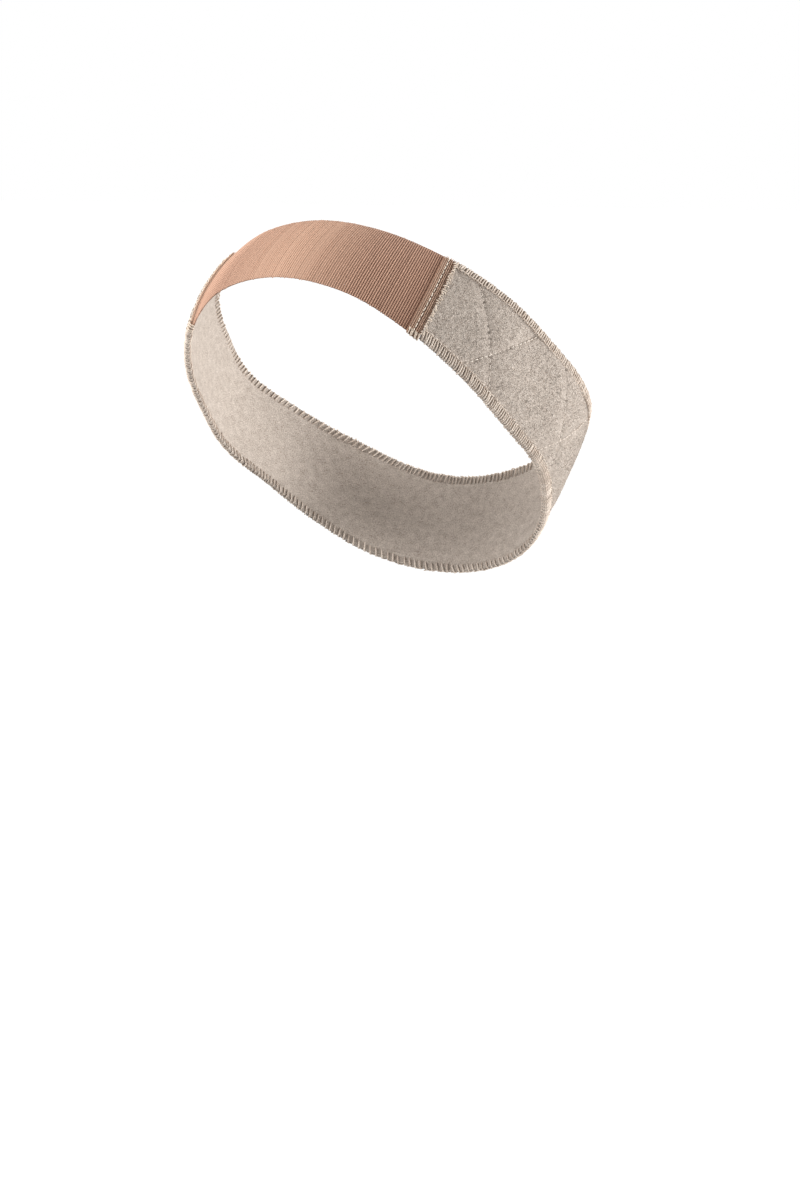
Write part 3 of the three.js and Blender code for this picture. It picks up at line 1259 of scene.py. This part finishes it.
@dataclass
class SeamStrip:
    """The folded lace that is stitched over the velvet's end."""

    maker: Maker
    side: Side
    reach: float = SIZES.seam_reach
    width: float = SIZES.seam_width
    thickness: float = 2 * MM
    groove: float = 0.6 * MM
    half_width: float = SIZES.width / 2
    overhang: float = 0.8 * MM
    dash_place: float = 0.4
    dash_reach: float = 0.85 * MM
    dash_pitch: float = 2.75 * MM
    loop_pitch: float = 1.15 * MM

    @property
    def length(self) -> float:
        """The strip's length, from the upper edge to just below the lower one."""
        return 2 * self.half_width + self.overhang

    def height(self, place: np.ndarray) -> np.ndarray:
        """Returns the fold's height at shares of its width."""
        places, rises, grooves = np.array(SEAM_PROFILE).T
        tops = rises * self.thickness - grooves * self.groove
        return np.interp(place, places, tops)

    def along(self, place: float) -> float:
        """Returns where a share of the strip's width lies along the band."""
        return self.side.value * (self.reach + (place - 0.5) * self.width)

    def fold(self) -> bpy.types.Object:
        """Returns the folded net."""
        ends = sorted((self.along(0), self.along(1)))
        mesh, points = slab(ends[0], ends[1], self.length, 27, 90, self.thickness)
        place = (self.side.value * points[:, 0] - self.reach) / self.width + 0.5
        outer = points[:, 2] > self.thickness / 2
        share = np.clip(np.abs(points[:, 1]) / (self.length / 2), 0, 1)
        drop = (1 - (0.35 + 0.65 * np.sqrt(1 - share**16))) * self.thickness / 2
        pucker = 0.08 * MM * smooth_noise(points, 3.2 * MM, 21)
        top = self.height(place) - drop + pucker
        points[:, 2] = np.where(outer, top, drop)
        points[:, 1] -= self.overhang / 2
        move_points(mesh, points)
        side = self.side.name.lower()
        return self.maker.wear(
            mesh, f"seam_fold_{side}", self.maker.finishes.fold, "seam", (f"seam_strip_{side}",)
        )

    def ribs(self) -> bpy.types.Object:
        """Returns the lace's ribs on the fold, which run along it."""
        count = 2 * round(self.length / SIZES.lace_stitch)
        half = self.length / 2 + 0.1 * MM
        swelling = tuple(1.15 if i % 2 else 0.85 for i in range(count + 1))
        meshes = []
        chance = np.random.default_rng(31)
        for place, radius in SEAM_RIBS:
            out = float(self.height(np.array(place))) + 0.03 * MM
            path = tuple(
                (
                    0.04 * MM * chance.standard_normal(),
                    -half - self.overhang / 2 + 2 * half * i / count,
                    0,
                )
                for i in range(count + 1)
            )
            pattern = Thread(path, radius * MM, swelling).mesh()
            place_at = Matrix.Translation((self.along(place), 0, out))
            meshes.append(repeated(pattern, [place_at], "seam_ribs"))
        name = f"seam_ribs_{self.side.name.lower()}"
        return self.maker.wear(joined(meshes, name), name, self.maker.finishes.fold_rib, "seam")

    def stitches(self) -> bpy.types.Object:
        """Returns the row of straight stitches and the bright loops on the velvet's end."""
        reach = self.dash_reach
        path = (
            (0, -reach - 0.1 * MM, -0.5 * MM),
            (0, -reach, -0.02 * MM),
            (0, -reach / 2, 0.22 * MM),
            (0, reach / 2, 0.22 * MM),
            (0, reach, -0.02 * MM),
            (0, reach + 0.1 * MM, -0.5 * MM),
        )
        chance = np.random.default_rng(41)
        line = float(self.height(np.array(self.dash_place))) + 0.25 * MM
        rows = int(self.length // self.dash_pitch)
        places = [
            Matrix.Translation(
                (
                    self.along(self.dash_place) + 0.05 * MM * chance.standard_normal(),
                    (i - (rows - 1) / 2) * self.dash_pitch - self.overhang / 2,
                    line,
                )
            )
            @ Matrix.Rotation(0.06 * chance.standard_normal(), 4, "Z")
            for i in range(rows)
        ]
        straight = repeated(Thread(path, 0.23 * MM).mesh(), places, "straight")
        s = self.side.value
        loop = (
            (-1.1 * MM * s, 0.25 * MM, 1.5 * MM),
            (-0.7 * MM * s, 0.15 * MM, 2.3 * MM),
            (0.1 * MM * s, 0, 2.75 * MM),
            (0.8 * MM * s, -0.15 * MM, 2.7 * MM),
            (1.2 * MM * s, -0.25 * MM, 2.1 * MM),
        )
        count = int(self.length // self.loop_pitch)
        at = s * (self.reach + self.width / 2 + 0.25 * MM)
        places = [
            Matrix.Translation(
                (
                    at + 0.12 * MM * chance.standard_normal(),
                    (i - (count - 1) / 2) * self.loop_pitch
                    - self.overhang / 2
                    + 0.1 * MM * chance.standard_normal(),
                    0.1 * MM * chance.standard_normal() + 0.1 * MM,
                )
            )
            @ Matrix.Rotation(0.5 * chance.standard_normal(), 4, "Z")
            @ Matrix.Diagonal((0.4 + 0.7 * chance.random(), 1, 1, 1))
            for i in range(1, count - 1)
        ]
        looped = repeated(Thread(loop, 0.22 * MM).mesh(), places, "looped")
        name = f"seam_stitches_{self.side.name.lower()}"
        return self.maker.wear(
            joined([straight, looped], name), name, self.maker.finishes.stitch, "seam"
        )

    def tail(self) -> bpy.types.Object:
        """Returns the few loops of thread round the strip's lower end."""
        rim = self.half_width + self.overhang
        path = (
            (0, -rim + 1.7 * MM, 2.0 * MM),
            (0.1 * MM, -rim + 1.3 * MM, 2.6 * MM),
            (0.35 * MM, -rim + 0.3 * MM, 2.6 * MM),
            (0.55 * MM, -rim - 0.35 * MM, 1.9 * MM),
            (0.6 * MM, -rim - 0.4 * MM, 1.0 * MM),
            (0.5 * MM, -rim + 0.1 * MM, 0.2 * MM),
        )
        chance = np.random.default_rng(51)
        left = min(self.along(0), self.along(1))
        places = [
            Matrix.Translation((left + 0.3 * MM + i * 0.85 * MM, 0.25 * MM * chance.random(), 0))
            @ Matrix.Diagonal((1 + 0.4 * chance.standard_normal(), 1, 1, 1))
            for i in range(6)
        ]
        name = f"seam_tail_{self.side.name.lower()}"
        mesh = repeated(Thread(path, 0.27 * MM).mesh(), places, name)
        return self.maker.wear(mesh, name, self.maker.finishes.stitch, "seam")

    def build(self) -> None:
        """Makes the strip and its sewing."""
        self.fold()
        self.ribs()
        self.stitches()
        self.tail()


def direction(azimuth: float, elevation: float) -> Vector:
    """Returns the unit vector from the band to a place round it, given in degrees as for a camera."""
    turn, rise = math.radians(azimuth), math.radians(elevation)
    level = Vector((math.sin(turn), -math.cos(turn), 0))
    return level * math.cos(rise) + Vector((0, 0, math.sin(rise)))


@dataclass(frozen=True)
class Studio:
    """Plain pale floor, soft lights, and the camera at the photograph's angle."""

    azimuth: float = 32.08
    elevation: float = 3.46
    distance: float = 2.06
    image_height: float = 1200
    image_width: float = 800
    focal: float = 4789.5
    origin_across: float = 383.82
    origin_down: float = 396.27
    sensor: float = 36
    floor_height: float = -0.9

    def camera(self) -> None:
        """Aims the camera so that the band's origin falls where the photograph has it."""
        back = direction(self.azimuth, self.elevation)
        right = direction(self.azimuth + 90, 0)
        up = back.cross(right)
        aim = (
            -back * self.focal
            + right * (self.image_width / 2 - self.origin_across)
            - up * (self.image_height / 2 - self.origin_down)
        )
        data = bpy.data.cameras.new("camera")
        data.sensor_width = self.sensor
        data.lens = self.focal * self.sensor / self.image_height
        data.clip_end = 200
        camera = bpy.data.objects.new("camera", data)
        camera.location = back * self.distance
        camera.rotation_mode = "QUATERNION"
        camera.rotation_quaternion = aim.to_track_quat("-Z", "Y")
        bpy.context.scene.collection.objects.link(camera)
        bpy.context.scene.camera = camera

    def floor(self) -> None:
        """Lays the floor."""
        shape = bmesh.new()
        bmesh.ops.create_grid(
            shape,
            x_segments=1,
            y_segments=1,
            size=40,
            matrix=Matrix.Translation((0, 0, self.floor_height)),
        )
        mesh = bpy.data.meshes.new("floor")
        shape.to_mesh(mesh)
        shape.free()
        shader = Shader("floor")
        shader.principled.inputs["Base Color"].default_value = (0.5, 0.5, 0.5, 1)
        shader.principled.inputs["Emission Color"].default_value = (1, 1, 1, 1)
        shader.principled.inputs["Emission Strength"].default_value = 0.9
        shader.finish(1)
        mesh.materials.append(shader.material)
        floor = bpy.data.objects.new("floor", mesh)
        floor.visible_diffuse = False
        bpy.context.scene.collection.objects.link(floor)

    def world(self) -> None:
        """Gives an even pale surround that looks white."""
        world = bpy.data.worlds.new("surround")
        world.use_nodes = True
        tree = world.node_tree
        background = tree.nodes["Background"]
        background.inputs["Color"].default_value = (1, 1, 1, 1)
        seen = tree.nodes.new("ShaderNodeLightPath")
        strength = tree.nodes.new("ShaderNodeMapRange")
        strength.inputs["To Min"].default_value = 0.34
        strength.inputs["To Max"].default_value = 1.0
        tree.links.new(seen.outputs["Is Camera Ray"], strength.inputs["Value"])
        tree.links.new(strength.outputs["Result"], background.inputs["Strength"])
        bpy.context.scene.world = world

    def light(
        self, name: str, azimuth: float, elevation: float, size: float, power: float, away: float = 1.8
    ) -> None:
        """Adds a soft square light that faces the band.

        Args:
            name: The light's name.
            azimuth: Where it stands round the band, as for a camera, in degrees.
            elevation: How high, in degrees.
            size: Its side in metres.
            power: In watts.
            away: Its distance in metres.
        """
        back = direction(azimuth, elevation)
        data = bpy.data.lights.new(name, "AREA")
        data.size = size
        data.energy = power
        lamp = bpy.data.objects.new(name, data)
        lamp.location = back * away
        lamp.rotation_mode = "QUATERNION"
        lamp.rotation_quaternion = (-back).to_track_quat("-Z", "Y")
        bpy.context.scene.collection.objects.link(lamp)

    def build(self) -> None:
        """Sets up the whole studio."""
        bpy.context.scene.view_settings.view_transform = "Standard"
        self.camera()
        self.floor()
        self.world()
        self.light("key", -45, 35, 0.9, 51)
        self.light("side", 132, 12, 0.9, 35)
        self.light("fill", 78, -28, 0.6, 8, 1.2)


def main() -> None:
    """Builds the band's pieces in order."""
    logging.basicConfig(level=logging.INFO, format="%(name)s %(message)s", force=True)
    Studio().build()
    loop = WornLoop()
    log.info("loop: %.1f mm round", loop.length / MM)
    maker = Maker(loop, Finishes(loop))
    LacePanel(maker).build()
    VelvetBand(maker).build()
    for edge in Edge:
        OverlockEdge(maker, edge).build()
    for side in Side:
        SeamStrip(maker, side).build()


if __name__ == "__main__":
    main()
